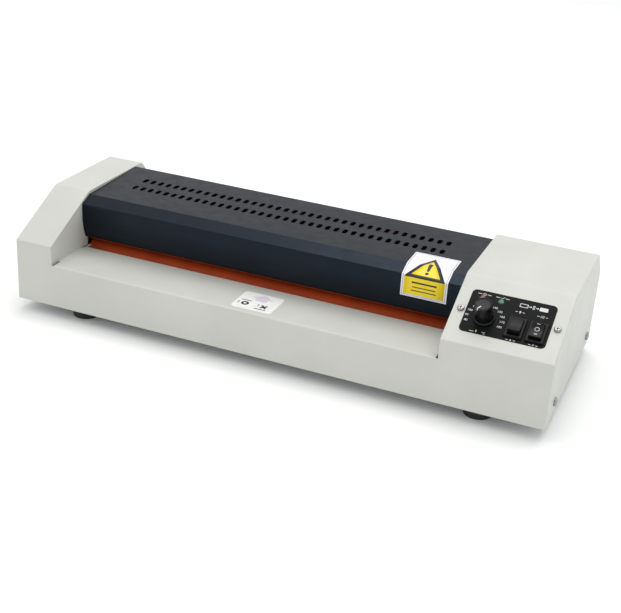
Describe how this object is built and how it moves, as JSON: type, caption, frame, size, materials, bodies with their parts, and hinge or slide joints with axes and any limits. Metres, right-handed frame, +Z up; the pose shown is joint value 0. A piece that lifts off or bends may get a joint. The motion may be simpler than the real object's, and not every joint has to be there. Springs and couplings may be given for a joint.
{
  "type": "pouch laminator",
  "caption": "Desktop hot-roller pouch laminator with steel end blocks, a black vented cover over its rollers, a feed tray, and a dial and rocker switches on a slope.",
  "frame": {"origin": "on the floor under the middle of the machine", "axes": "+X to the right along the rollers, +Y to the rear where pouches come out, +Z up; the feed tray faces -Y"},
  "size_m": [0.5042, 0.191, 0.1042],
  "materials": {
    "casing_paint": "fine powder coat, warm light grey",
    "cover_paint": "fine powder coat, black",
    "zinc_plate": "bright zinc plated sheet",
    "turned_steel": "turned steel",
    "screw_zinc": "zinc plated",
    "screw_nickel": "bright nickel plated",
    "spring_wire": "drawn spring wire",
    "sintered_bronze": "sintered bronze",
    "silicone_rubber": "ground silicone rubber, red brown",
    "foot_rubber": "moulded black rubber",
    "gear_nylon": "moulded natural nylon",
    "guide_aluminium": "plain sheet",
    "motor_can": "drawn steel can",
    "quartz_tube": "clear quartz",
    "holder_ceramic": "unglazed steatite",
    "gland_nylon": "moulded black nylon",
    "terminal_nylon": "moulded natural nylon",
    "control_film": "printed film",
    "warning_film": "printed film",
    "tray_film": "printed film",
    "knob_plastic": "moulded black plastic",
    "switch_plastic": "moulded black nylon",
    "rocker_plastic": "moulded black plastic",
    "blade_brass": "stamped brass",
    "lamp_red": "tinted epoxy lens",
    "lamp_green": "tinted epoxy lens",
    "board_laminate": "solder resist over laminate",
    "relay_plastic": "moulded case"
  },
  "bodies": {
    "housing": {"main_casing": "casing_paint", "top_cover": "cover_paint", "base_pan": "zinc_plate", "rubber_feet": "foot_rubber", "foot_screws": "screw_zinc", "casing_screws": "screw_zinc", "machine_screws": "screw_zinc", "panel_screws": "screw_nickel", "left_frame": "zinc_plate", "right_frame": "zinc_plate", "tie_rods": "turned_steel", "lower_bushes": "sintered_bronze", "hot_springs": "spring_wire", "pull_springs": "spring_wire", "pouch_guides": "guide_aluminium", "motor_bracket": "zinc_plate", "drive_motor": "motor_can", "idler_stud": "turned_steel", "heater_tubes": "quartz_tube", "heater_holders": "holder_ceramic", "thermostat": "motor_can", "cord_gland": "gland_nylon", "fuse_holder": "gland_nylon", "terminal_block": "terminal_nylon", "warning_label": "warning_film", "tray_label": "tray_film", "control_label": "control_film", "potentiometer": "motor_can", "potentiometer_nut": "screw_nickel", "feed_switch": "switch_plastic", "heat_switch": "switch_plastic", "switch_terminals": "blade_brass", "power_lamp": "lamp_red", "ready_lamp": "lamp_green", "circuit_board": "board_laminate", "board_standoffs": "blade_brass", "relay": "relay_plastic", "transformer": "motor_can", "board_components": "switch_plastic"},
    "lower_hot_roller": {"lower_hot_core": "turned_steel", "lower_hot_sleeve": "silicone_rubber", "lower_hot_gear": "gear_nylon"},
    "upper_hot_carriage": {"upper_hot_bearings": "sintered_bronze"},
    "upper_hot_roller": {"upper_hot_core": "turned_steel", "upper_hot_sleeve": "silicone_rubber", "upper_hot_gear": "gear_nylon"},
    "lower_pull_roller": {"lower_pull_core": "turned_steel", "lower_pull_sleeve": "silicone_rubber", "lower_pull_gear": "gear_nylon"},
    "upper_pull_carriage": {"upper_pull_bearings": "sintered_bronze"},
    "upper_pull_roller": {"upper_pull_core": "turned_steel", "upper_pull_sleeve": "silicone_rubber", "upper_pull_gear": "gear_nylon"},
    "idler": {"idler_gear": "gear_nylon"},
    "pinion": {"motor_pinion": "turned_steel"},
    "control_knob": {"temperature_knob": "knob_plastic", "control_shaft": "turned_steel"},
    "feed_rocker": {"feed_rocker": "rocker_plastic"},
    "heat_rocker": {"heat_rocker": "rocker_plastic"}
  },
  "joints": [
    {"name": "lower_hot_spin", "type": "hinge", "parent": "housing", "child": "lower_hot_roller", "pos_m": [0, -0.024, 0.042], "axis": [1, 0, 0], "continuous": true},
    {"name": "hot_lift", "type": "slide", "parent": "housing", "child": "upper_hot_carriage", "axis": [0, 0, 1], "range_m": [0, 0.0008], "stiffness_N_per_m": 3000, "springref_m": -0.005, "deforming": ["hot_springs"]},
    {"name": "upper_hot_spin", "type": "hinge", "parent": "upper_hot_carriage", "child": "upper_hot_roller", "pos_m": [0, -0.024, 0.0683], "axis": [1, 0, 0], "continuous": true},
    {"name": "lower_pull_spin", "type": "hinge", "parent": "housing", "child": "lower_pull_roller", "pos_m": [0, 0.032, 0.042], "axis": [1, 0, 0], "continuous": true},
    {"name": "pull_lift", "type": "slide", "parent": "housing", "child": "upper_pull_carriage", "axis": [0, 0, 1], "range_m": [0, 0.0008], "stiffness_N_per_m": 3000, "springref_m": -0.005, "deforming": ["pull_springs"]},
    {"name": "upper_pull_spin", "type": "hinge", "parent": "upper_pull_carriage", "child": "upper_pull_roller", "pos_m": [0, 0.032, 0.0683], "axis": [1, 0, 0], "continuous": true},
    {"name": "idler_spin", "type": "hinge", "parent": "housing", "child": "idler", "pos_m": [0, 0.004, 0.042], "axis": [1, 0, 0], "continuous": true},
    {"name": "pinion_spin", "type": "hinge", "parent": "housing", "child": "pinion", "pos_m": [0, 0.004, 0.0645], "axis": [1, 0, 0], "continuous": true},
    {"name": "temperature_turn", "type": "hinge", "parent": "housing", "child": "control_knob", "pos_m": [0.184, -0.0688, 0.08417], "axis": [0, 0.4558, -0.8901], "range_deg": [0, 300]},
    {"name": "feed_rock", "type": "hinge", "parent": "housing", "child": "feed_rocker", "pos_m": [0.2107, -0.07101, 0.08192], "axis": [1, 0, 0], "range_deg": [0, 18]},
    {"name": "heat_rock", "type": "hinge", "parent": "housing", "child": "heat_rocker", "pos_m": [0.2281, -0.07101, 0.08192], "axis": [1, 0, 0], "range_deg": [-9, 9]}
  ],
  "couplings": [
    {"joint": "upper_hot_spin", "follows": "lower_hot_spin", "ratio": -1},
    {"joint": "lower_pull_spin", "follows": "lower_hot_spin", "ratio": 1},
    {"joint": "upper_pull_spin", "follows": "lower_hot_spin", "ratio": -1},
    {"joint": "idler_spin", "follows": "lower_hot_spin", "ratio": -0.86667},
    {"joint": "pinion_spin", "follows": "lower_hot_spin", "ratio": 1.7333}
  ]
}
